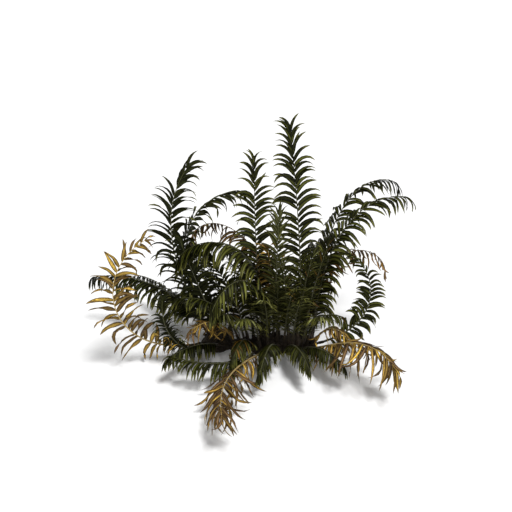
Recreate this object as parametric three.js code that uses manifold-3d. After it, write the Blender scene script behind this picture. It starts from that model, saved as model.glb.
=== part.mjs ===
// Giant leather fern: a rooted clump of long leathery fronds on one short creeping stem.
// Millimetres, +Z up, +X to the viewer's right, -Y towards the viewer. The ground is z = 0.

import * as THREE from 'three';
import { mergeVertices } from 'three/addons/utils/BufferGeometryUtils.js';
import Module from 'manifold-3d';

const wasm = await Module();
wasm.setup();

// Stem: rounded crowns in a row, joined by a low creeping ridge. size holds the half axes.
const CROWNS = [
  { at: [-385, 55], size: [125, 120, 78] },
  { at: [-190, 25], size: [140, 75, 56] },
  { at: [0, 5], size: [135, 130, 84] },
  { at: [230, 20], size: [140, 145, 80] },
];
const CROWN_SIDES = 12;
const CROWN_RINGS = 8;
const GROUND_BLOCK = [2000, 2000, 400];

// Old stalk bases on the stem, and the stalks and ribs that go on from them
const FOOT_HEIGHT = 42;
const STUB_LENGTH = 118;
const STUB_ROOT = 45;
const STUB_BASE_RADIUS = 18;
const STUB_SIDES = 6;
const RIB_FOOT_RADIUS = 11;
const RIB_TIP_RADIUS = 3.2;
const RIB_SIDES = 3;
const RIB_STEP = 105;
const MEETING_GAP = 0.3;
const RIB_STATION_SPARE = 0.2;
const TRACE_STEPS_EACH = 6;

// Leaflets
const BARE_STALK = 0.05;
const LEAFLET_SPACING = 115;
const LEAFLET_STAGGER = 0.2;
const TIP_LEAFLET_AT = 0.98;
const LEAFLET_WIDTH = 66;
const FULL_WIDTH_LENGTH = 157;
const SLIMMEST_LEAFLET = 0.3;
const LEAFLET_THICKNESS = 4;
const LONGEST_LEAFLET_BASE = 110;
const LONGEST_LEAFLET_SHARE = 0.074;
const PROFILE_FROM = 0.3;
const PROFILE_TO = 0.8;
const PROFILE_FULLNESS = 0.8;
const WIDEST_AT = 0.45;
const LOW_ANGLE = 54;
const TIP_ANGLE = 27;
const ROOT_SAG = 0.45;
const DROOP_UPRIGHT = 0.55;
const DROOP_ARCHING = 0.33;
const NEAR_TURN = 12;
const FAR_TURN = 70;
const SHORTER_TRIES = [1, 0.8, 0.6, 0.42];
const LEAFLET_CLEARANCE = 1.2;
const GROUND_CLEARANCE = 3;
const TRIANGLE_DEPTH = 1.5;

// Kinds of frond: fresh, turned gold, and withered, which hangs more and has shrunk
const KINDS = {
  green: { colour: 0x414a26, roughness: 0.48, droop: 0, reach: 1 },
  gold: { colour: 0xa98038, roughness: 0.7, droop: 0.08, reach: 1.25 },
  brown: { colour: 0x6a4a26, roughness: 0.8, droop: 0.16, reach: 0.75 },
  stem: { colour: 0x4b3a28, roughness: 0.9 },
};

// Fronds. foot: where the stalk stands on the stem. heading: compass angle from +X, with sweep its
// change to the tip. lean: tilt from upright, with arch its change to the tip, late where hook is
// over 1. turn: the blade's twist about its rib, with roll its change to the tip. leaf: its leaflets'
// length against the rule's, with fade the share lost to the tip. limp: how much more they hang.
// splitAt: the bends.
const FROND_DEFAULTS = {
  sweep: 0, hook: 1, turn: 0, roll: 0, leaf: 1, fade: 0, limp: 0, splitAt: [], kind: 'green',
};
const FRONDS = [
  { name: 'frond_right_tall', foot: [245, 30], heading: 150, lean: 1, arch: 8, length: 1480, turn: -60 },
  { name: 'frond_middle_tall', foot: [-30, 40], heading: 160, lean: 6, arch: -6, length: 1260, turn: -70 },
  { name: 'frond_left_tall', foot: [-395, 30], heading: 173, lean: 26, arch: -64, length: 1320,
    hook: 1.9, turn: 85, leaf: 1.12 },
  { name: 'frond_left_arching', foot: [-350, 100], heading: 182, lean: 31, arch: -118, length: 1320,
    hook: 1.7, turn: 20, splitAt: [0.6] },
  { name: 'frond_right_high_back', foot: [275, 85], heading: 51, lean: 16, arch: 113, length: 1420,
    sweep: -42, hook: 4, splitAt: [0.62] },
  { name: 'frond_right_high_front', foot: [310, 20], heading: 11, lean: 8, arch: 89, length: 1320,
    sweep: -19, hook: 2.8, turn: 50, roll: -40, splitAt: [0.62] },
  { name: 'frond_front_left_arch', foot: [-60, -20], heading: 190, lean: -4, arch: 150, length: 1170,
    hook: 2, leaf: 1.3, splitAt: [0.55] },
  { name: 'frond_left_gold', foot: [-420, 15], heading: 207, lean: 82, arch: -156, length: 1360,
    hook: 1.4, turn: 76, leaf: 1.1, limp: -0.3, splitAt: [0.46, 0.75], kind: 'gold' },
  { name: 'frond_left_spreading', foot: [-430, 80], heading: 164, lean: 33, arch: 76, length: 1020,
    hook: 0.9, leaf: 1.15 },
  { name: 'frond_right_curled', foot: [305, -45], heading: 348, lean: 62, arch: -131, length: 940,
    hook: 1.4, turn: 80, fade: 0.45, splitAt: [0.4, 0.72] },
  { name: 'frond_front_gold', foot: [20, -85], heading: 233, lean: 77, arch: 11, length: 1020,
    sweep: 46, hook: 3.8, leaf: 1.15, kind: 'gold' },
  { name: 'frond_right_gold', foot: [265, -95], heading: 313, lean: 57, arch: 85, length: 760,
    hook: 3, leaf: 1.5, limp: 0.4, kind: 'gold' },
  { name: 'frond_middle_young', foot: [35, -20], heading: 330, lean: 2, arch: 0, length: 930, turn: -60 },
  { name: 'frond_left_withered', foot: [10, 100], heading: 148, lean: 0, arch: 153, length: 1250,
    hook: 1.8, turn: 15, leaf: 1.35, splitAt: [0.6], kind: 'brown' },
  { name: 'frond_right_withered', foot: [200, 80], heading: 10, lean: 12, arch: 160, length: 1090,
    hook: 2.1, turn: 15, leaf: 1.35, kind: 'brown' },
  { name: 'frond_front_upright', foot: [205, -50], heading: 300, lean: 6, arch: 14, length: 720,
    turn: -45 },
  { name: 'frond_right_upright', foot: [260, -10], heading: 5, lean: 6, arch: 12, length: 720, turn: -80 },
  { name: 'frond_left_upright', foot: [-310, -10], heading: 190, lean: 22, arch: -6, length: 800,
    turn: 75, leaf: 1.25 },
  { name: 'frond_front_middle_arch', foot: [-15, -60], heading: 238, lean: 8, arch: 140, length: 1060,
    hook: 1.9 },
  { name: 'frond_front_left_low', foot: [-90, -75], heading: 260, lean: 72, arch: 10, length: 730,
    sweep: -103 },
  { name: 'frond_left_small', foot: [-405, -30], heading: 216, lean: 82, arch: -92, length: 620,
    hook: 0.75, turn: 70, leaf: 0.8 },
  { name: 'frond_front_right_low', foot: [120, -75], heading: 285, lean: 50, arch: 62, length: 460,
    hook: 1.2 },
  { name: 'frond_front_right_side', foot: [190, -100], heading: 305, lean: 54, arch: 58, length: 460,
    hook: 1.2 },
  { name: 'frond_right_inner', foot: [275, -60], heading: 312, lean: 14, arch: 85, length: 400,
    sweep: 20, hook: 1.5 },
  { name: 'frond_front_inner', foot: [70, -65], heading: 256, lean: 50, arch: 72, length: 520, hook: 1.2 },
  { name: 'frond_front_short', foot: [65, -30], heading: 268, lean: 10, arch: 34, length: 600, hook: 1.3 },
  { name: 'frond_left_inner', foot: [-125, -40], heading: 256, lean: 44, arch: 66, length: 420, hook: 1.2 },
  { name: 'frond_left_old', foot: [-245, -20], heading: 232, lean: 28, arch: 75, length: 500,
    hook: 1.3, limp: 0.2, kind: 'gold' },
  { name: 'frond_left_young', foot: [-300, -35], heading: 228, lean: 60, arch: 42, length: 500, hook: 1.3 },
  { name: 'frond_middle_low', foot: [-165, -20], heading: 244, lean: 22, arch: 62, length: 540, hook: 1.3 },
  { name: 'frond_front_young', foot: [-55, -85], heading: 250, lean: 22, arch: 52, length: 500, hook: 1.3 },
  { name: 'frond_right_young', foot: [235, -90], heading: 290, lean: 20, arch: 52, length: 500, hook: 1.3 },
  { name: 'frond_right_core', foot: [150, -45], heading: 250, lean: 6, arch: 22, length: 680, turn: 45 },
  { name: 'frond_middle_gold', foot: [85, 40], heading: 200, lean: 5, arch: 6, length: 660,
    turn: 60, kind: 'gold' },
  { name: 'frond_left_core', foot: [-255, 0], heading: 165, lean: 9, arch: 25, length: 720, turn: 60 },
  { name: 'frond_middle_core', foot: [-105, 50], heading: 150, lean: 6, arch: 30, length: 520, turn: 60 },
  { name: 'frond_front_arch', foot: [115, -50], heading: 283, lean: 10, arch: 40, length: 600, hook: 1.3 },
  { name: 'frond_left_front', foot: [-200, -35], heading: 218, lean: 20, arch: 60, length: 680, hook: 1.3 },
  { name: 'frond_right_old', foot: [300, -90], heading: 320, lean: 27, arch: 138, length: 360,
    hook: 2, limp: 0.2, kind: 'gold' },
  { name: 'frond_middle_fan', foot: [0, -90], heading: 262, lean: 14, arch: 40, length: 550, hook: 1.3 },
  { name: 'frond_right_fan', foot: [175, -80], heading: 278, lean: 14, arch: 38, length: 550, hook: 1.3 },
  { name: 'frond_left_fan', foot: [-135, -10], heading: 185, lean: 15, arch: 14, length: 660,
    turn: 75, leaf: 1.15 },
  { name: 'frond_back_right', foot: [60, 60], heading: 60, lean: 30, arch: 65, length: 850, hook: 1.4 },
  { name: 'frond_back_middle', foot: [-50, 100], heading: 108, lean: 44, arch: 65, length: 920, hook: 1.4 },
  { name: 'frond_back_left', foot: [-385, 135], heading: 108, lean: 38, arch: 70, length: 920, hook: 1.4 },
  { name: 'frond_back_right_low', foot: [270, 130], heading: 82, lean: 46, arch: 60, length: 950,
    hook: 1.4 },
  { name: 'frond_back_left_gold', foot: [-310, 90], heading: 72, lean: 50, arch: 60, length: 950,
    hook: 1.3, kind: 'gold' },
  { name: 'frond_back_inner', foot: [165, 110], heading: 118, lean: 30, arch: 75, length: 850, hook: 1.4 },
  { name: 'frond_back_left_low', foot: [-440, 125], heading: 140, lean: 56, arch: 48, length: 800,
    hook: 1.3 },
  { name: 'frond_back_right_side', foot: [335, 70], heading: 75, lean: 50, arch: 50, length: 700,
    hook: 1.3 },
].map((row) => ({ ...FROND_DEFAULTS, ...row }));

const DOWN = new THREE.Vector3(0, 0, -1);
const Y_AXIS = new THREE.Vector3(0, 1, 0);
const radians = THREE.MathUtils.degToRad;
const mix = THREE.MathUtils.lerp;

// Unit vector at a tilt from upright, towards a compass heading
function directionOf(heading, tilt) {
  const across = Math.sin(radians(tilt));
  const up = Math.cos(radians(tilt));
  return new THREE.Vector3(across * Math.cos(radians(heading)), across * Math.sin(radians(heading)), up);
}

// A frond's direction, and the side its blade spreads to, at a share of its length
function frameOf(frond, share) {
  const heading = frond.heading + frond.sweep * share;
  const along = directionOf(heading, frond.lean + frond.arch * share ** frond.hook);
  const side = directionOf(heading + 90, 90);
  side.applyAxisAngle(along, radians(frond.turn + frond.roll * share));
  return { along, side };
}

// Corner points down the middle of a frond's rib, from its stub's end to its tip
function traceRib(frond) {
  const point = new THREE.Vector3(frond.foot[0], frond.foot[1], FOOT_HEIGHT);
  point.addScaledVector(frameOf(frond, 0).along, STUB_LENGTH);
  const corners = [point.clone()];
  const steps = Math.round(frond.length / RIB_STEP) * TRACE_STEPS_EACH;
  for (let step = 1; step <= steps; step += 1) {
    point.addScaledVector(frameOf(frond, (step - 0.5) / steps).along, frond.length / steps);
    if (step % TRACE_STEPS_EACH === 0) {
      corners.push(point.clone());
    }
  }
  return corners;
}

function pointAt(corners, share) {
  const place = share * (corners.length - 1);
  const step = Math.min(Math.floor(place), corners.length - 2);
  return corners[step].clone().lerp(corners[step + 1], place - step);
}

// Closed solid from a three.js geometry
function solidOf(geometry) {
  geometry.deleteAttribute('normal');
  geometry.deleteAttribute('uv');
  const merged = mergeVertices(geometry, 1e-4);
  return new wasm.Manifold(new wasm.Mesh({
    numProp: 3,
    vertProperties: new Float32Array(merged.attributes.position.array),
    triVerts: new Uint32Array(merged.index.array),
  }));
}

// Moves every vertex of a geometry by a function
function reshape(geometry, place) {
  const position = geometry.attributes.position;
  const vertex = new THREE.Vector3();
  for (let index = 0; index < position.count; index += 1) {
    const moved = place(vertex.fromBufferAttribute(position, index));
    position.setXYZ(index, moved.x, moved.y, moved.z);
  }
  return geometry;
}

// The points that a stretch of rib runs through, between two shares of its frond's length
function ribLine(corners, from, to) {
  const shares = corners.map((corner, index) => index / (corners.length - 1));
  const spare = RIB_STATION_SPARE / (corners.length - 1);
  const inner = shares.filter((share) => share > from + spare && share < to - spare);
  return [from, ...inner, to].map((share) => ({ share, point: pointAt(corners, share) }));
}

// The point on a stretch of rib at a share of its frond's length
function pointOn(line, share) {
  const next = Math.max(1, line.findIndex((station) => station.share >= share));
  const [one, other] = [line[next - 1], line[next]];
  return one.point.clone().lerp(other.point, (share - one.share) / (other.share - one.share));
}

// Stretch of a frond's tapering rib
function ribSolid(frond, line) {
  const steps = line.length - 1;
  const radiusAt = ({ share }) => mix(RIB_FOOT_RADIUS, RIB_TIP_RADIUS, share);
  const tube = new THREE.CylinderGeometry(radiusAt(line[steps]), radiusAt(line[0]), 1, RIB_SIDES, steps);
  return solidOf(reshape(tube, (vertex) => {
    const { share, point } = line[Math.round((vertex.y + 0.5) * steps)];
    const { along, side } = frameOf(frond, share);
    const normal = side.clone().cross(along);
    return point.clone().addScaledVector(side, vertex.x).addScaledVector(normal, vertex.z);
  }));
}

// Leaflet length as a share of the frond's longest: long below the middle, short at the tip
function leafletProfile(share) {
  const climb = (share - BARE_STALK) / (1 - BARE_STALK);
  return Math.sin(Math.PI * mix(PROFILE_FROM, PROFILE_TO, climb)) ** PROFILE_FULLNESS;
}

// One leaflet, with a flat back and a ridge, bent down under its own weight. spare thickens it.
function leafletSolid(frond, line, share, hand, size, spare) {
  const { along, side } = frameOf(frond, share);
  const { droop, reach } = KINDS[frond.kind];
  const angle = radians(mix(LOW_ANGLE, TIP_ANGLE, share));
  const outward = along.clone().addScaledVector(side, hand * Math.tan(angle)).normalize();
  const level = 1 - Math.max(0, along.z);
  outward.addScaledVector(DOWN, ROOT_SAG * level).normalize();
  const pull = DROOP_UPRIGHT + droop + frond.limp + DROOP_ARCHING * level;
  const hinge = outward.clone().cross(DOWN).normalize();
  const most = outward.angleTo(DOWN);
  const near = outward.clone().applyAxisAngle(hinge, Math.min(most, pull * radians(NEAR_TURN)));
  const far = outward.clone().applyAxisAngle(hinge, Math.min(most, pull * radians(FAR_TURN)));
  const longest = LONGEST_LEAFLET_BASE + LONGEST_LEAFLET_SHARE * frond.length;
  const full = reach * frond.leaf * (1 - frond.fade * share) * longest;
  const length = size * full * leafletProfile(share);
  const root = pointOn(line, share);
  const middle = root.clone().addScaledVector(near, length * WIDEST_AT);
  const tip = middle.clone().addScaledVector(far, length * (1 - WIDEST_AT) + spare);
  const across = (hand === 0 ? side : along).clone().projectOnPlane(near).normalize();
  const ridge = near.clone().cross(across);
  const width = LEAFLET_WIDTH * mix(SLIMMEST_LEAFLET, 1, Math.min(1, length / FULL_WIDTH_LENGTH));
  const halfWidth = width / 2 + spare;
  const ridgeHeight = (LEAFLET_THICKNESS + 2 * spare) / TRIANGLE_DEPTH;
  const blank = new THREE.SphereGeometry(1, 3, 2);
  return solidOf(reshape(blank, (vertex) => {
    if (Math.abs(vertex.y) > 0.5) {
      return vertex.y < 0 ? root : tip;
    }
    const edge = across.clone().multiplyScalar(Math.sign(Math.round(vertex.z)) * halfWidth);
    return edge.add(middle).addScaledVector(ridge, vertex.x * ridgeHeight);
  }));
}

// Stem: the crowns and the old stalk bases, cut flat at the ground
function stemSolid() {
  const lumps = CROWNS.map(({ at, size }) => {
    const lump = new THREE.SphereGeometry(1, CROWN_SIDES, CROWN_RINGS).rotateX(Math.PI / 2);
    return solidOf(lump.scale(...size).translate(at[0], at[1], 0));
  });
  const stubs = FRONDS.map((frond) => {
    const height = STUB_ROOT + STUB_LENGTH - MEETING_GAP;
    const stub = new THREE.CylinderGeometry(RIB_FOOT_RADIUS, STUB_BASE_RADIUS, height, STUB_SIDES);
    stub.translate(0, height / 2 - STUB_ROOT, 0);
    stub.applyQuaternion(new THREE.Quaternion().setFromUnitVectors(Y_AXIS, frameOf(frond, 0).along));
    return solidOf(stub.translate(frond.foot[0], frond.foot[1], FOOT_HEIGHT));
  });
  const ground = new THREE.BoxGeometry(...GROUND_BLOCK).translate(0, 0, -GROUND_BLOCK[2] / 2);
  return wasm.Manifold.union([...lumps, ...stubs]).subtract(solidOf(ground));
}

// A frond's nodes: one, or one for each stretch between its bends
function frondNodes(frond) {
  const corners = traceRib(frond);
  const ends = [0, ...frond.splitAt, 1];
  const labels = { 1: [''], 2: ['_lower', '_upper'], 3: ['_lower', '_middle', '_upper'] }[ends.length - 1];
  return labels.map((label, part) => {
    const from = ends[part] + (part > 0 ? MEETING_GAP / frond.length : 0);
    const to = ends[part + 1];
    const line = ribLine(corners, from, to);
    return { name: frond.name + label, frond, line, from, to, rib: ribSolid(frond, line) };
  });
}

const stem = stemSolid();
const nodes = FRONDS.flatMap(frondNodes);
const taken = [{ owner: 'stem', solid: stem, box: stem.boundingBox() }];
for (const { name, rib } of nodes) {
  taken.push({ owner: name, solid: rib, box: rib.boundingBox() });
}

function boxesMeet(one, other) {
  return [0, 1, 2].every((axis) => one.min[axis] <= other.max[axis] && other.min[axis] <= one.max[axis]);
}

// Whether a solid of one node meets the ground or another node
function meetsOthers(owner, solid) {
  const box = solid.boundingBox();
  return box.min[2] < GROUND_CLEARANCE || taken.some((other) => (
    other.owner !== owner && boxesMeet(box, other.box) && !solid.intersect(other.solid).isEmpty()));
}

// Where a frond's leaflets stand: nearly opposite pairs, and one at the tip that follows the rib
function leafletPlaces(frond) {
  const pairs = Math.round(((1 - BARE_STALK) * frond.length) / LEAFLET_SPACING);
  const places = [{ share: TIP_LEAFLET_AT, hand: 0 }];
  for (let pair = 0; pair < pairs; pair += 1) {
    for (const hand of [-1, 1]) {
      places.push({ share: mix(BARE_STALK, 1, (pair + 0.5 + LEAFLET_STAGGER * hand) / pairs), hand });
    }
  }
  return places;
}

// A node's leaflets, shorter or left out where they would meet another node
function growLeaflets({ name, frond, line, from, to }) {
  const margin = RIB_FOOT_RADIUS / frond.length;
  const last = to < 1 ? to - margin : 1;
  const leaflets = [];
  for (const { share, hand } of leafletPlaces(frond)) {
    const size = share > from + margin && share < last && SHORTER_TRIES.find((part) => (
      !meetsOthers(name, leafletSolid(frond, line, share, hand, part, LEAFLET_CLEARANCE))));
    if (size) {
      const leaflet = leafletSolid(frond, line, share, hand, size, 0);
      leaflets.push(leaflet);
      taken.push({ owner: name, solid: leaflet, box: leaflet.boundingBox() });
    }
  }
  return leaflets;
}

// A solid as a named mesh, measured from the point that its group stands at
function meshOf(name, solid, kind, at) {
  const { vertProperties, triVerts } = solid.getMesh();
  const geometry = new THREE.BufferGeometry();
  geometry.setAttribute('position', new THREE.BufferAttribute(vertProperties, 3));
  geometry.setIndex(new THREE.BufferAttribute(triVerts, 1));
  geometry.translate(-at[0], -at[1], -at[2]);
  geometry.computeVertexNormals();
  const { colour, roughness } = KINDS[kind];
  const material = new THREE.MeshStandardMaterial({ color: colour, roughness, metalness: 0 });
  const mesh = new THREE.Mesh(geometry, material);
  mesh.name = name;
  return mesh;
}

const fern = new THREE.Group();
fern.add(meshOf('stem', stem, 'stem', [0, 0, 0]));
for (const frond of FRONDS) {
  const foot = [...frond.foot, FOOT_HEIGHT];
  const stretches = new THREE.Group();
  stretches.position.set(...foot);
  for (const node of nodes.filter((other) => other.frond === frond)) {
    const blade = wasm.Manifold.union([node.rib, ...growLeaflets(node)]);
    stretches.add(meshOf(node.name, blade, frond.kind, foot));
  }
  fern.add(stretches);
}

export default fern;
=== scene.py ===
"""Giant leather fern: a rooted clump of long leathery fronds on one short creeping stem.

Every frond's rib and leaflets grow from the rule and the sizes that its solid has, with finer leaflets.
Metres, +Z up, +X to the viewer's right, -Y towards the viewer. The ground is z = 0.
"""

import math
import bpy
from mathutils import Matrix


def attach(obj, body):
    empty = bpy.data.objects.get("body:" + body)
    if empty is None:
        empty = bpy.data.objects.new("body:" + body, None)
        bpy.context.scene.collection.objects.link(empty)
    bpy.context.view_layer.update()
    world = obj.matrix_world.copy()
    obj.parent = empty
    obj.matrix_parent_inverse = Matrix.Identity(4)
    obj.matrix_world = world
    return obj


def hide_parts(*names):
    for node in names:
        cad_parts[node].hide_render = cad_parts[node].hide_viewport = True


bl_info = {
    "name": "Giant leather fern",
    "version": (1, 0, 0),
    "blender": (4, 5, 0),
    "location": "View3D > Sidebar > Fern",
    "description": "A barky stem, ribs and leaflets over the fern's solids",
    "category": "Add Mesh",
}

from typing import NamedTuple

import bpy
import numpy as np
from bpy.props import FloatProperty, FloatVectorProperty, IntProperty, PointerProperty
from bpy.types import Operator, Panel, PropertyGroup
from mathutils import Vector
from mathutils.kdtree import KDTree

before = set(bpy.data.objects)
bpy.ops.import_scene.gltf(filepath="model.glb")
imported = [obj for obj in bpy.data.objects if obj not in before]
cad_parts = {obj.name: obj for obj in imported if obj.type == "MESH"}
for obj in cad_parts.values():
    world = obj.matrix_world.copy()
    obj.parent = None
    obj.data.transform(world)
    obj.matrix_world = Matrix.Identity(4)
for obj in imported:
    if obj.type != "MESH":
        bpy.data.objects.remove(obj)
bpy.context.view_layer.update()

UP = np.array((0.0, 0.0, 1.0))
DOWN = -UP
LEAF_MAP = "OFBake"
SENSOR_WIDTH = 36  # millimetres
LIGHT_PLACE = (0, 0, 4)

# Stem: crowns in a row, each with its place and half axes, stalk bases and old stumps on them, and bark
CROWNS = (
    ((-0.385, 0.055), (0.125, 0.120, 0.078)),
    ((-0.190, 0.025), (0.140, 0.075, 0.056)),
    ((0.000, 0.005), (0.135, 0.130, 0.084)),
    ((0.230, 0.020), (0.140, 0.145, 0.080)),
)
FOOT_HEIGHT = 0.042
STUB_LENGTH = 0.118
STUB_ROOT = 0.045
CROWN_SEGMENTS = 32
CROWN_RINGS = 20
STALK_SIDES = 12
STUMP_SEED = 77
STUMP_TILTS = (25, 78)
STUMP_LENGTHS = (0.05, 0.085)
STUMP_BASE_RADII = (0.012, 0.016)
STUMP_END_RADII = (0.008, 0.011)
LUMP_SIZE = 0.045
FIBRE_SIZE = 0.011
RELIEF_MIDDLE = 0.55
BARK_CREASE = math.radians(50)

# Leaflets: where they stand, how they hang, what they keep clear of and how wide they are
BARE_STALK = 0.05
STAGGER = 0.2
TIP_LEAFLET_AT = 0.98
LONGEST_BASE = 0.11
LONGEST_SHARE = 0.074
PROFILE_FROM = 0.3
PROFILE_TO = 0.8
PROFILE_FULLNESS = 0.8
LOW_ANGLE = 44
TIP_ANGLE = 8
ANGLE_HOLD = 4
ROOT_SAG = 0.45
DROOP_UPRIGHT = 0.64
DROOP_ARCHING = 0.33
BEND = 190
BEND_POWER = 1.6
CURL_POWER = 1.5
TIP_STIFFNESS = 0.5
SHORTER_TRIES = (1, 0.8, 0.6, 0.42)
RIB_CLEARANCE = 0.008
GROUND_CLEARANCE = 0.003
ROOT_RINGS = 2
FULL_WIDTH_LENGTH = 0.2
LEAST_WIDTH = 0.05
THICKNESS_SHARE = 0.011
LEFT_RIPPLES = 9
RIGHT_RIPPLES = 11

# How far chance moves leaflets from the rule. Most of it grows with a kind's disorder
PLACE_SCATTER = 0.12
LENGTH_SCATTER = 0.1
LEAST_ANGLE_SCATTER = 4
ANGLE_SCATTER = 5
LEAST_DROOP_SCATTER = 0.22
DROOP_SCATTER = 0.12
HANG_RANGE = (0.55, 0.97)
USUAL_TWIST = 0.75
TWIST_SCATTER = 0.3
ROLL_SCATTER = 1.1
ROLL_DISORDER_POWER = 1.5
PHASE_RANGE = (0, 6)
RIPPLE = 0.15
CURL_SCATTER = 0.5
CURL_DISORDER_POWER = 2


class Kind(NamedTuple):
    """How the leaflets differ on one kind of frond. Missing is the share that has dropped off."""

    spread: float  # degrees added to their angle
    droop: float
    reach: float  # their length
    spacing: float
    width: float
    disorder: float
    missing: float


KINDS = {
    "green": Kind(spread=0, droop=0, reach=1, spacing=1, width=1, disorder=0.5, missing=0.02),
    "gold": Kind(spread=14, droop=0.08, reach=1.25, spacing=1.1, width=0.85, disorder=1.3, missing=0.06),
    "brown": Kind(spread=10, droop=0.16, reach=0.75, spacing=1, width=0.9, disorder=1.2, missing=0.12),
}


class Frond(NamedTuple):
    """One frond: where its stalk stands, how it curves and how its leaflets differ. Angles are in degrees."""

    name: str
    foot: tuple
    heading: float
    lean: float  # tilt from upright at the foot
    arch: float  # tilt added by the tip
    length: float
    sweep: float = 0  # heading added by the tip
    hook: float = 1  # above 1, the arch comes late
    turn: float = 0  # the blade's turn about the rib
    roll: float = 0  # turn added by the tip
    leaf: float = 1  # the leaflets' length
    fade: float = 0  # how much shorter they get towards the tip
    limp: float = 0  # droop added to theirs
    broad: float = 1  # their width
    dense: float = 1  # how close they stand
    curl: float = 1  # how far they curl at random
    parts: int = 1  # solids that the frond has
    kind: str = "green"
    tone: str = "plain"

    def nodes(self):
        """The solids that this frond has: one, or one for each stretch between its bends."""
        ends = {1: ("",), 2: ("_lower", "_upper"), 3: ("_lower", "_middle", "_upper")}[self.parts]
        return [f"frond_{self.name}{end}" for end in ends]


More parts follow.
